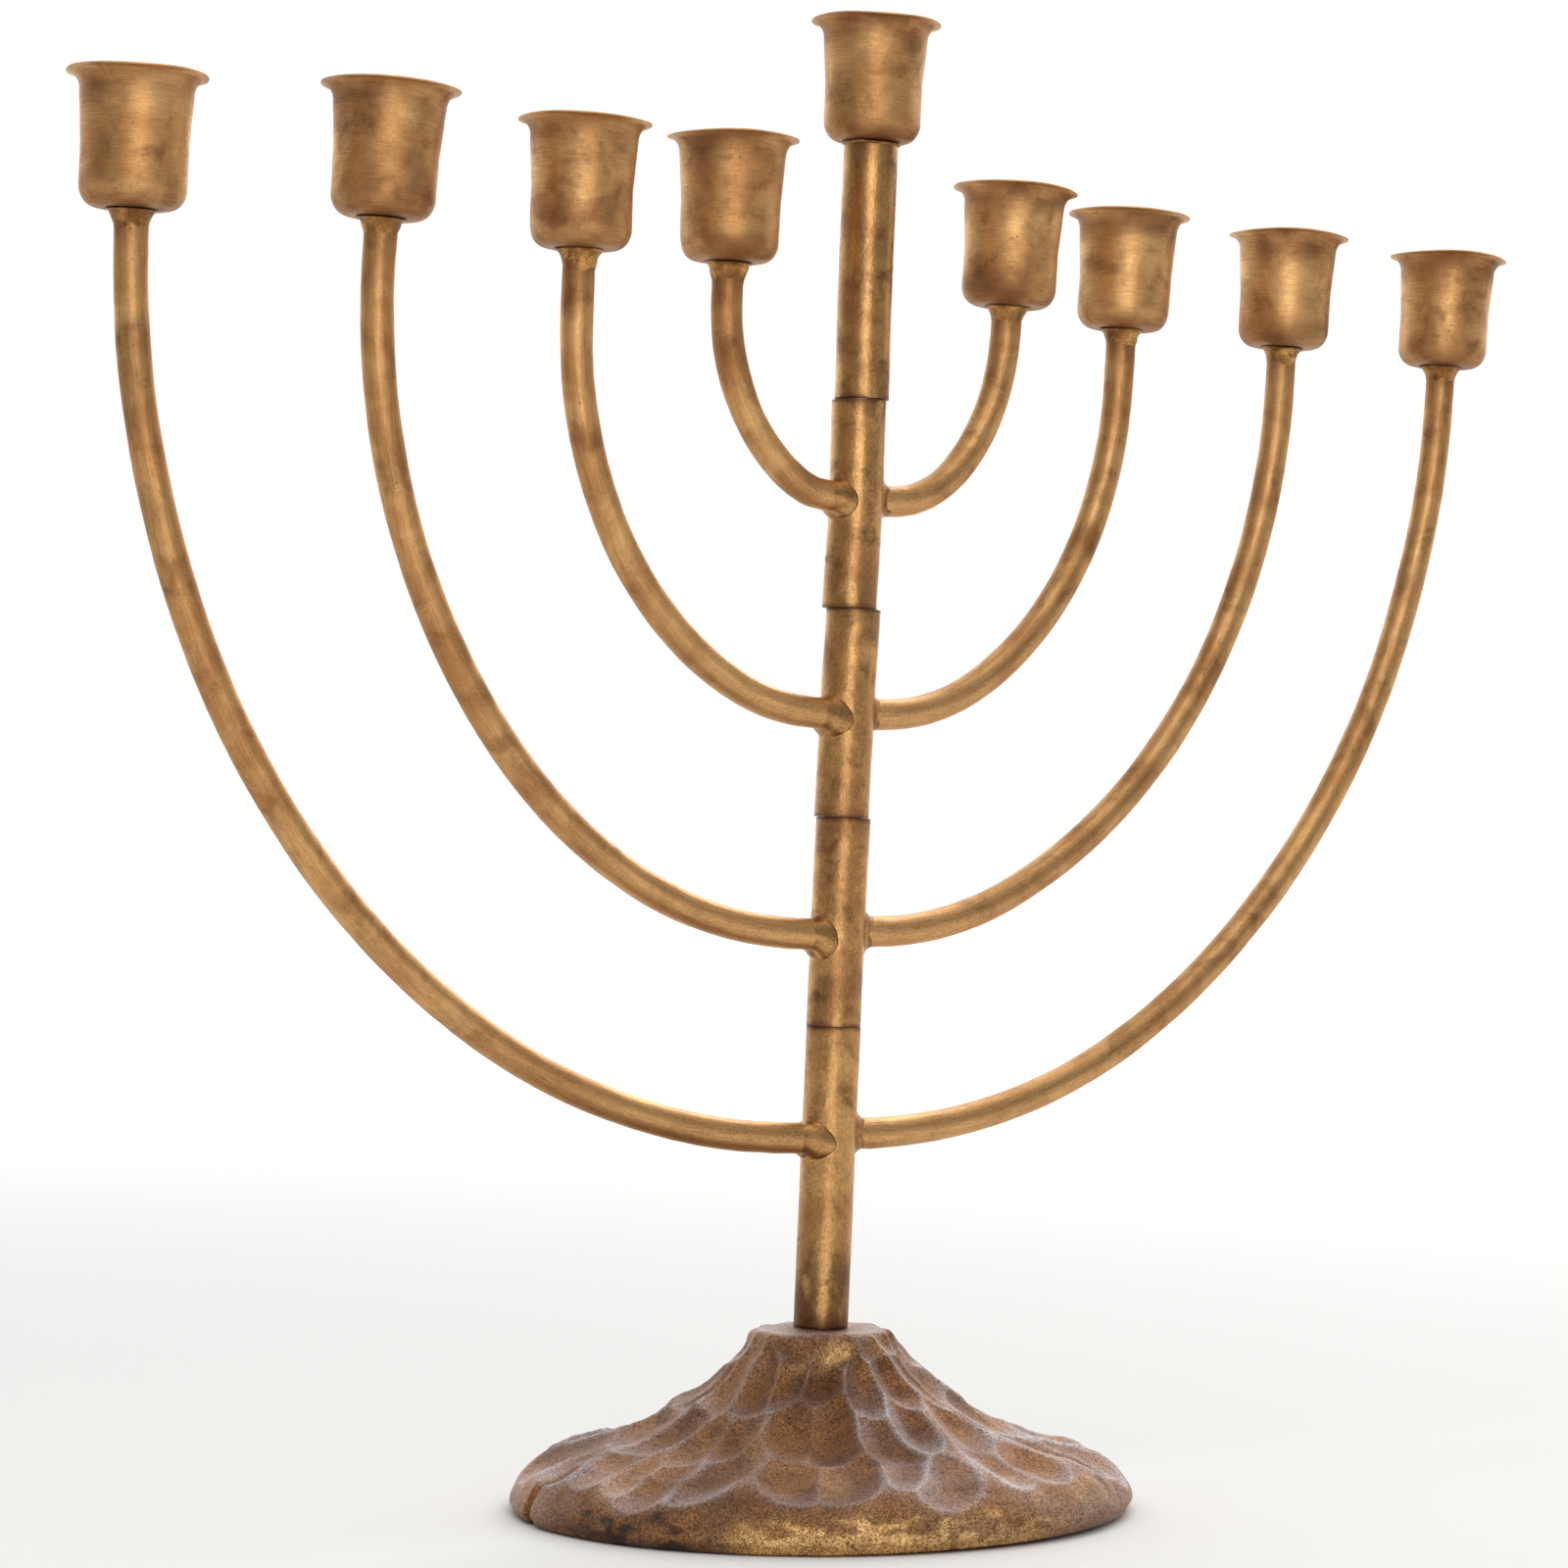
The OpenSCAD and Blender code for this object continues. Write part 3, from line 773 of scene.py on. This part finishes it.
def mark_share(mark, place, bar_r):
    """How much of a small mark there is at a place on a bar, 0 to 1."""
    height, sideways, long, wide, _ = (value * MM for value in mark)
    right, ahead = TO_COLUMN @ RIGHTWARDS, TO_COLUMN @ TOWARDS
    spot = right * sideways - ahead * math.sqrt(max(0.0, bar_r ** 2 - sideways ** 2))
    away = Vector((place.x, place.y, 0)) - Vector((spot.x, spot.y, 0))
    return bell(away.length, wide) * bell(place.z - height, long / 2)


def make_bar(name, node, body, pin_below, pin_above, shifts, joints, marks, seed):
    """A turned column bar with metal smeared by the brazing. shifts is how far its round side stands off
    its pin holes at its lower and upper end, in millimetres to the right as seen from the front."""
    heights, radii = measure(node, FOOT, AXIS)
    low, high, bar_r = float(heights.min()), float(heights.max()), float(radii.max())
    hole_r = float(radii[radii > 1 * MM].min())
    path = []
    if pin_below:
        floor = float(measure(pin_below, FOOT, AXIS)[0].max()) + PIN_END_PLAY
        path += [(0, floor), (hole_r * 0.6, floor), (hole_r, floor)]
        path += [(hole_r, low + EDGE), (hole_r + EDGE, low)]
    path += line((hole_r + EDGE, low), (bar_r - EDGE, low), 0.8 * MM)
    path += arc((bar_r - EDGE, low + EDGE), EDGE, EDGE, -90, 0, 4)[1:]
    path += line((bar_r, low + EDGE), (bar_r, high - EDGE), BAR_STEP)
    path += arc((bar_r - EDGE, high - EDGE), EDGE, EDGE, 0, 90, 4)[1:]
    if pin_above:
        floor = float(measure(pin_above, FOOT, AXIS)[0].min()) - PIN_END_PLAY
        path += [(bar_r - SEAT_INSET, high), (bar_r - SEAT_INSET, high + SEAT_STEP)]
        path += line(path[-1], (hole_r + EDGE, high + SEAT_STEP), 0.8 * MM)
        path += [(hole_r, high - EDGE), (hole_r, floor), (hole_r * 0.6, floor), (0, floor)]
    else:
        path += line((bar_r - EDGE, high), (0, high), 1.2 * MM)
    bottom, top = (TO_COLUMN @ (RIGHTWARDS * shift * MM) for shift in shifts)
    spots = [TO_COLUMN @ (p - FOOT) for p in joints]

    def shape(r, z, a):
        place = polar(r, a, z)
        if r < hole_r + EDGE * 0.5:
            return place
        outer = ramp(r, hole_r, bar_r)
        near = sum(bell((place - s).length, 6.5 * MM) for s in spots)
        out = uneven(place, BAR_UNEVEN, seed) + near * uneven(place, BRAZED_UNEVEN, seed + 2)
        out += sum(mark[4] * MM * mark_share(mark, place, bar_r) for mark in marks)
        t = (z - low) / (high - low)
        off = (bottom * (1 - ramp(t, 0.0, 0.5)) + top * ramp(t, 0.5, 1.0)) * outer
        return polar(r + out * outer, a, z) + Vector((off.x, off.y, 0))

    def paint(r, z, local):
        if r < hole_r + EDGE * 0.5:
            return 1.0, 0.0
        end = min(z - low, high - z)
        # Painted shade: the dark band within about a millimetre of each end stands for the shadow in the seam
        # between bars. The wider darkening near the ends, and low on tier 1's bar, is stain.
        seam_shade_and_stain = 0.75 * (1 - ramp(end, 0.1 * MM, 1.2 * MM))
        seam_shade_and_stain += 0.3 * (1 - ramp(end, 1 * MM, 6 * MM))
        if pin_below == "foot_pin":
            seam_shade_and_stain += 0.65 * (1 - ramp(z - low, 3 * MM, 42 * MM))
        near = min(1.0, sum(bell((local - s).length, 8 * MM) for s in spots))
        patch = blotch(local, 14 * MM, seed + 4, 0.1, 0.6)
        scorch = blotch(local, 4 * MM, seed + 5, 0.1, 0.5) * near
        dark = sum(mark_share(mark, local, bar_r) for mark in marks if mark[4] < 0)
        # Marks that stand up are lighter: burrs, and on tier 1 a rubbed streak down the front that is also a
        # painted highlight where the light band runs.
        bright = sum(mark_share(mark, local, bar_r) for mark in marks if mark[4] > 0)
        gilt = 0.6 * blotch((local.x, local.y, local.z * 0.6), 5 * MM, seed + 7, 0.2, 0.6)
        shine = min(1.0, gilt + bright * (1 + 0.7 * wobble(local, 1.6 * MM, seed + 8)))
        stain = (seam_shade_and_stain + 0.35 * patch + 0.6 * scorch) * (1 - 0.85 * shine) + dark
        return min(1.0, stain), min(1.0, near + shine)

    piece = lathe(name, COLUMN, path if pin_below else [(0, low)] + path, BAR_SIDES, shape, paint)
    hang(piece, body, "aged_brass", bar_brass, node)
    return bar_r


# ---- the carved base

BASE_SIDES = 660
BASE_STEP = 0.58 * MM
BASE_CREASE = 75
# The carving ends this far down the slope, on a rim that is left plain, and higher where the rim is worn
CARVED_LENGTH = 75 * MM
WORN_BAND = 8 * MM
# The rows of gouge cuts, from the crown down: how many cuts, where their lower ends lie and how long they
# are as shares of the carved length, and how deep they are
CUT_ROWS = (
    (16, 0.145, 0.18, 1.4 * MM),
    (19, 0.42, 0.40, 2.7 * MM),
    (23, 0.70, 0.46, 3.0 * MM),
    (28, 0.99, 0.46, 2.8 * MM),
)
END_SPREAD = 4.2 * MM
NOTCH_HEADING = math.radians(164)
NOTCH_DEPTH = 2.3 * MM
WEAR_HEADING = math.radians(-119)
GRIMY_HEADING = math.radians(-162)
RAISED_HEADING = math.atan2(RIGHTWARDS.y, RIGHTWARDS.x)
RAISED_BY = 1.1 * MM
# How far the seat under the column stands above the crown
SEAT_RISE = 0.25 * MM
BASE_UNEVEN = ((0.42, 17), (0.22, 5.5), (0.11, 1.9))
# The walls of the base above and inside its hollow
HOLLOW_TOP, HOLLOW_SIDE = 6 * MM, 2 * MM


def bezier(p, t):
    """A point on a cubic curve with four control points."""
    a, b, c, d = (1 - t) ** 3, 3 * t * (1 - t) ** 2, 3 * t * t * (1 - t), t ** 3
    return tuple(a * p[0][i] + b * p[1][i] + c * p[2][i] + d * p[3][i] for i in (0, 1))


def resampled(path, step):
    """The path with points spaced by step."""
    gone = [0.0]
    for a, b in zip(path, path[1:]):
        gone.append(gone[-1] + math.dist(a, b))
    count = round(gone[-1] / step)
    want = np.linspace(0, gone[-1], count + 1)
    return list(zip(*(np.interp(want, gone, values) for values in zip(*path))))


def turned(heading, middle):
    """How far headings are from a middle one, from -pi to pi."""
    return (heading - middle + np.pi) % (2 * np.pi) - np.pi


def carved_depth(slope, heading):
    """Depth of the gouge cuts at points given by their distance down the slope and heading (arrays). A cut
    starts gently, deepens down the slope and ends in a steep round wall."""
    rng = random.Random(41)
    deepest = np.zeros_like(slope)
    for row, (count, end, long, depth) in enumerate(CUT_ROWS):
        pitch = 2 * pi / count
        for i in range(count):
            middle_turn = (i + 0.5 * (row % 2) + rng.uniform(-0.3, 0.3)) * pitch
            half_turn = pitch * rng.uniform(0.50, 0.78)
            carved = CARVED_LENGTH - WORN_BAND * bell(turned(middle_turn, WEAR_HEADING), 0.9)
            half_length = carved * long / 2 * rng.uniform(0.8, 1.25)
            middle = carved * end + rng.uniform(-1, 1) * END_SPREAD - half_length
            slant = rng.uniform(-0.55, 0.55)
            down = np.clip((slope - middle) / half_length, -1.5, 1.5)
            across = turned(heading, middle_turn) / half_turn + slant * down
            ends = np.where(down > 0, np.abs(down) ** 2.6, down ** 2)
            full = depth * rng.uniform(0.8, 1.15)
            deepest = np.maximum(deepest, full * (1 + 0.35 * down) * (1 - across ** 2 - ends))
    return deepest


def softened(field, rows, sides):
    """The field averaged over a few rows and, round the ring, a few sides."""
    total = sum(np.roll(field, k, axis=1) for k in range(-sides, sides + 1)) / (2 * sides + 1)
    padded = np.pad(total, ((rows, rows), (0, 0)), mode="edge")
    return sum(padded[k:k + len(field)] for k in range(2 * rows + 1)) / (2 * rows + 1)


def base_outline(base_r, base_h, foot_z, hole_r):
    """The base's outer outline before it is carved, from its pin hole over its crown out to its foot."""
    crown_r = base_r * 0.2
    shoulder = (crown_r + 3.4 * MM, base_h - 2.5 * MM)
    brim = (base_r - 13.5 * MM, base_h * 0.365)
    crown = [(crown_r, base_h), (crown_r + 1.7 * MM, base_h)]
    crown += [(crown_r + 2.8 * MM, base_h - 1.1 * MM), shoulder]
    flare = [shoulder, (crown_r + 8.6 * MM, base_h - 10.3 * MM)]
    flare += [(crown_r + 27.4 * MM, base_h - 25.2 * MM), brim]
    rim = [brim, (base_r - 6.4 * MM, 13.4 * MM), (base_r - 1.1 * MM, 8.8 * MM), (base_r, 3.0 * MM)]
    slope = [bezier(c, i / 40) for c in (crown, flare, rim) for i in range(41)]
    top = line((hole_r + 0.4 * MM, base_h), (crown_r, base_h), 0.5 * MM)
    return resampled(top + slope + [(base_r - 1.5 * MM, foot_z)], BASE_STEP), flare, crown_r


def make_base(name, node, body):
    """The sand-cast foot: a bell with rows of gouge cuts above a rough rim, hollow underneath."""
    cad = mesh_points(node)
    base_h, foot_z = float(cad[:, 2].max()), float(cad[:, 2].min())
    base_r = float(np.hypot(cad[:, 0], cad[:, 1]).max())
    pin_heights, pin_radii = measure("foot_pin", FOOT, AXIS)
    hole_r = float(pin_radii.max()) + 0.05 * MM
    bar_r = float(measure("tier_1_hub", FOOT, AXIS)[1].max())
    hole_depth = -float(pin_heights.min()) + PIN_END_PLAY
    pad = mesh_points("base_pad")
    pad_r, pad_top = float(np.abs(pad[:, 0]).max()) + 0.3 * MM, float(pad[:, 2].max())
    outer, flare, crown_r = base_outline(base_r, base_h, foot_z, hole_r)
    rows, sides = len(outer), BASE_SIDES
    headings = np.arange(sides) * 2 * pi / sides
    r, z = np.array(outer).T
    tangent = np.stack([np.gradient(r), np.gradient(z)], 1)
    tangent /= np.linalg.norm(tangent, axis=1)[:, None]
    normal = np.stack([-tangent[:, 1], tangent[:, 0]], 1)
    slope, heading = np.meshgrid(np.arange(rows) * BASE_STEP - (crown_r - hole_r), headings, indexing="ij")
    off_crown = 1 / (1 + np.exp(-(slope + 0.3 * MM) / (0.45 * MM)))
    depth = carved_depth(slope, heading) * off_crown
    crest = np.clip((softened(depth, 3, 5) - depth) / (0.34 * MM), 0, 1)
    wall = np.clip(-np.gradient(depth, axis=0) / BASE_STEP / 0.42, 0, 1)
    girth = 2 * pi / sides * np.maximum(r, crown_r)[:, None]
    facing_right = np.clip(np.gradient(depth, axis=1) / girth / 0.32, 0, 1)
    # How far each heading lies to the right as seen from the front; sheen scales the painted sheen by it, most on
    # the right, less on the left and least at the front and back.
    rightness = np.cos(turned(heading, RAISED_HEADING))
    sheen = 0.28 + np.where(rightness > 0, 1.1, -0.5) * rightness
    spread = ((WEAR_HEADING, 0.45), (GRIMY_HEADING, 0.24), (WEAR_HEADING, 0.9))
    worn, grimy, top_worn = (np.exp(-(turned(heading, middle) / width) ** 2) for middle, width in spread)
    skin = Skin()
    for i in range(rows):
        keep = ramp(r[i], hole_r + 1.5 * MM, crown_r)
        keep *= 0.2 + 0.8 * ramp(z[i], foot_z, foot_z + 1.5 * MM)
        low = 1 - ramp(z[i], foot_z, foot_z + 9 * MM) if r[i] > crown_r else 0.0
        notch_share = ramp(20 * MM - z[i], 0, 12 * MM)
        for k, a in enumerate(headings):
            place = polar(r[i], a, z[i])
            notch = bell(turned(a, NOTCH_HEADING) * r[i], 1.5 * MM) * notch_share
            push = uneven(place, BASE_UNEVEN, 1) * keep - depth[i, k] - NOTCH_DEPTH * notch
            lift = RAISED_BY * low * max(0.0, cos(a - RAISED_HEADING))
            if r[i] < crown_r:
                level = SEAT_RISE - polar(r[i], a, 0).dot(AXIS) / AXIS.z
                lift += level * (1 - ramp(r[i], bar_r, crown_r - 1.5 * MM))
            where = polar(r[i] + normal[i][0] * push, a, max(foot_z, z[i] + normal[i][1] * push) + lift)
            # Pale dust with painted sheen: crests and walls of the cuts are paled, and walls facing right on the
            # right-hand side most, for the sheen that light from the right puts there. The crown's flat top gets
            # pale dust.
            broad = blotch(place, 12 * MM, 12, -0.35, 0.35)
            dust = 0.6 * (crest[i, k] + wall[i, k]) + 0.9 * facing_right[i, k] * max(0.0, rightness[i, k])
            dust = (dust * (0.45 + 0.55 * broad) + 0.12 * broad) * sheen[i, k] * (1 - worn[i, k] * low)
            top_dust = 0.5 * (1 - off_crown[i, k]) * ramp(r[i], bar_r, crown_r)
            streaks = wobble((place.x, place.y, place.z * 3), 7 * MM, 14)
            streaks += 0.5 * wobble(place, 2.5 * MM, 15)
            reach = (1.5 + 7 * streaks) * MM
            rim_wear = 1.25 * worn[i, k] - 1.4 * grimy[i, k]
            rim_wear *= 1 - ramp(z[i], reach, reach + 6.5 * MM)
            rim_wear += 0.2 * top_worn[i, k] * (1 - ramp(z[i], 8 * MM, 15 * MM))
            top_wear = 0.6 * bell(z[i] - base_h * 0.91, 3.6 * MM) * top_worn[i, k]
            top_wear *= blotch(place, 8 * MM, 9, -0.3, 0.2)
            patch = 0.14 * blotch(place, 13 * MM, 7, 0.15, 0.5)
            skin.add(where, (slope[i, k], place.x, place.y), min(1.0, dust * off_crown[i, k] + top_dust),
                     min(1.0, max(-1.0, rim_wear) + patch + top_wear))
    faces = ring_faces(rows, sides)
    lip_r, lip_z = pad_r - 5 * MM, pad_top + 0.05 * MM
    core_z = base_h - hole_depth - 4 * MM
    inside = [(pad_r, foot_z), (pad_r, lip_z), (lip_r, lip_z), (lip_r, 8 * MM)]
    for i in range(30, -1, -1):
        outer_r, outer_z = bezier(flare, i / 30)
        if outer_z - HOLLOW_TOP < core_z and outer_r - HOLLOW_SIDE < lip_r:
            inside.append((outer_r - HOLLOW_SIDE, outer_z - HOLLOW_TOP))
    inside += [(crown_r, core_z), (crown_r * 0.5, core_z)]
    for inner_r, inner_z in inside:
        for a in headings:
            skin.add(polar(inner_r, a, inner_z))
    faces += [tuple(v + (rows - 1) * sides for v in f) for f in ring_faces(len(inside) + 1, sides)]
    cap = len(skin.points)
    skin.add((0, 0, core_z))
    last = cap - sides
    faces += [(last + k, last + (k + 1) % sides, cap) for k in range(sides)]
    mouth = len(skin.points)
    for deep in (0.35 * MM, hole_depth):
        for a in headings:
            skin.add(COLUMN @ polar(hole_r, a, -deep))
    floor = len(skin.points)
    skin.add(COLUMN @ Vector((0, 0, -hole_depth)))
    for k in range(sides):
        n = (k + 1) % sides
        faces.append((mouth + k, mouth + n, n, k))
        faces.append((mouth + sides + k, mouth + sides + n, mouth + n, mouth + k))
        faces.append((mouth + sides + n, mouth + sides + k, floor))
    hang(put_mesh(name, skin, inside_out(faces), BASE_CREASE), body, "cast_brass", base_metal, node)


# ---- putting it together

make_base("base_carved", "base_casting", "base")
materials = {"base_pad": felt, "foot_pin": pin_metal, **{f"tier_{t}_pin": pin_metal for t in TIERS}}
for node, material in materials.items():
    slots = frame["nodes"][node].data.materials
    slots.clear()
    slots.append(material)

# How far each bar stands off at its lower and upper end, in millimetres to the right
BAR_SHIFTS = {1: (0.0, 0.05), 2: (-0.05, 0.25), 3: (-0.25, 0.55), 4: (-0.55, -0.25)}
STEM_SHIFT = (0.35, 0.0)
# How far the fillets climb a bar above and below each rod, and run out along it, in millimetres
WEBS = {
    (1, "left"): (0.5, 0.6, 3), (1, "right"): (4.2, 2.4, 5),
    (2, "left"): (0.5, 1.8, 3.5), (2, "right"): (3.6, 4.2, 5),
    (3, "left"): (0.5, 1.6, 3.5), (3, "right"): (3.0, 2.6, 4.4),
    (4, "left"): (0.6, 1.2, 3), (4, "right"): (2.8, 2.2, 4.4),
}
# How far each left rod laps round its bar in millimetres, and how ragged the lap's edge is
LEFT_LAPS = {1: (2.25, 0.08), 2: (1.4, 0.22), 3: (1.7, 0.18), 4: (1.3, 0.24)}
PLAIN_FILLET = (0.0, 0.22)
# The width and length of the collars under the cups, and of the crack above them
CUP_COLLAR = (2.0 * MM, 4.6 * MM, 0.18 * MM)
SERVER_COLLAR = (0.5 * MM, 1.0 * MM, 0.35 * MM)
# Small marks on the bars: height above the foot, distance right of the middle as seen from the front,
# length, width, and how far they stand up, all in millimetres
BAR_MARKS = {
    1: [(22.4, -6.7, 1.0, 0.8, -0.5), (11.8, 1.1, 1.6, 0.5, -0.35), (57.6, -1.4, 2.2, 0.35, 0.25),
        # A rubbed brass streak down the front of tier 1's bar, lightened also as a painted highlight along the lit
        # band.
        (6.5, 0.0, 9.0, 1.3, 0.02), (16.5, 0.2, 14.0, 1.5, 0.02), (25.5, 1.1, 9.0, 1.8, 0.02)],
    2: [],
    3: [],
    4: [(196.8, -6.8, 1.0, 0.7, 0.45)],
}

pin_under = "foot_pin"
for tier in TIERS:
    body = f"tier_{tier}"
    roots = []
    for side_index, side_name in enumerate(SIDES):
        seed = tier * 10 + side_index * 5
        part = f"{body}_{side_name}"
        under, axis = make_cup(part + "_spun_cup", part + "_cup", part + "_candle_seat", body, seed)
        root, rod_r = make_arm(part + "_rod", part + "_arm", body, under, axis, seed + 100)
        roots.append(root)
        collar = part + "_cup_collar"
        make_cup_braze(collar, body, under, axis, rod_r, CUP_COLLAR, seed + 200, body + "_cup_brazes")
    pin_over = body + "_pin"
    bar_r = make_bar(body + "_bar", body + "_hub", body, pin_under, pin_over, BAR_SHIFTS[tier], roots,
                     BAR_MARKS[tier], tier + 300)
    for side_name, root in zip(SIDES, roots):
        lap = LEFT_LAPS[tier] if side_name == "left" else PLAIN_FILLET
        metal = bar_brass if side_name == "left" else braze_metal
        seed = tier * 10 + SIDES.index(side_name) + 400
        make_arm_braze(f"{body}_{side_name}_joint_braze", body, root, rod_r, bar_r, lap,
                       WEBS[tier, side_name], metal, seed, body + "_arm_brazes")
    pin_under = pin_over

make_bar("server_bar", "server_stem", "server", pin_under, None, STEM_SHIFT, [], [], 350)
under, axis = make_cup("server_spun_cup", "server_cup", "server_candle_seat", "server", 91)
make_cup_braze("server_cup_collar", "server", under, axis, bar_r, SERVER_COLLAR, 291, "server_braze")

# ---- the studio

FLOOR_RINGS = (0.6, 1.5, 3.0, 6.0)
FLOOR_SIDES = 96
WHITE = (1, 1, 1, 1)


def make_floor():
    """A pale disc that meets the pale background."""
    points = [(0, 0, 0)]
    for r in FLOOR_RINGS:
        points += [tuple(polar(r, a, 0)) for a in ring_angles(FLOOR_SIDES)]
    faces = [(0, 1 + k, 1 + (k + 1) % FLOOR_SIDES) for k in range(FLOOR_SIDES)]
    faces += [tuple(1 + i for i in face) for face in inside_out(ring_faces(len(FLOOR_RINGS), FLOOR_SIDES))]
    mesh = bpy.data.meshes.new("floor")
    mesh.from_pydata(points, [], faces)
    floor = put("floor", mesh)
    s = material_shader("floor_paper")
    far = s.add("VectorMath", {0: s.place()}, "Value", operation="LENGTH")
    glow = s.span(far, 0.3, 2.5, 0.0, 0.62)
    mesh.materials.append(s.finish(srgb(238, 237, 235), 0.9, Emission_Color=WHITE, Emission_Strength=glow))


def area_light(name, behind, right, above, width, height, power):
    """A soft box that faces the middle of the object and stands off it by three distances."""
    light = bpy.data.lights.new(name, "AREA")
    light.shape = "RECTANGLE"
    light.size, light.size_y = width, height
    light.energy = power
    lamp = put(name, light)
    away = TOWARDS * behind + RIGHTWARDS * right + Vector((0, 0, above))
    lamp.location = (cad_box[0] + cad_box[1]) / 2 + away
    lamp.rotation_euler = (-away).to_track_quat("-Z", "Y").to_euler()


def make_world():
    """White to the eye, and for light a studio that is bright behind and above the object."""
    world = bpy.data.worlds.new("studio")
    bpy.context.scene.world = world
    s = Shader(world)
    way = s.add("TexCoord", {}, "Generated")
    ahead = s.add("VectorMath", {0: way, 1: TOWARDS}, "Value", operation="DOT_PRODUCT")
    behind = s.add("MapRange", {0: ahead, 1: 0.05, 2: 0.9, 3: 0.27, 4: 1.7}, 0)
    height = s.add("SeparateXYZ", {0: way}, "Z")
    above = s.add("MapRange", {0: height, 1: 0.25, 2: 0.9, 3: 0.0, 4: 0.55}, 0)
    level = s.add("Math", {0: behind, 1: above}, 0, operation="MAXIMUM")
    lit = s.add("Background", {"Color": WHITE, "Strength": level}, 0)
    seen = s.add("Background", {"Color": WHITE, "Strength": 1.0}, 0)
    eye = s.add("LightPath", {}, "Is Camera Ray")
    s.output("OutputWorld", s.add("MixShader", {0: eye, 1: lit, 2: seen}, 0))


make_floor()
make_world()
# Each light's distances behind, right of and above the object's middle, its width and height, and power
area_light("key", -1.25, 0.18, 0.45, 0.6, 1.2, 5.5)
area_light("top", -0.45, 0.0, 1.2, 1.2, 1.2, 4.5)
area_light("rim", 1.05, 0.65, 0.95, 0.8, 0.8, 6)

CAMERA_BACK = 1.1881
CAMERA_SIDE = 0.00935
CAMERA_HEIGHT = 0.1783
CAMERA_TILT = math.radians(90.35)
CAMERA_LENS = 106.4
camera = put("camera", bpy.data.cameras.new("camera"))
camera.location = -TOWARDS * CAMERA_BACK - RIGHTWARDS * CAMERA_SIDE + Vector((0, 0, CAMERA_HEIGHT))
camera.rotation_euler = (CAMERA_TILT, 0, -VIEW_HEADING)
camera.data.lens = CAMERA_LENS
camera.data.sensor_width = 36
camera.data.clip_start = 0.05
camera.data.clip_end = 50
bpy.context.scene.camera = camera
bpy.context.scene.view_settings.view_transform = "Standard"
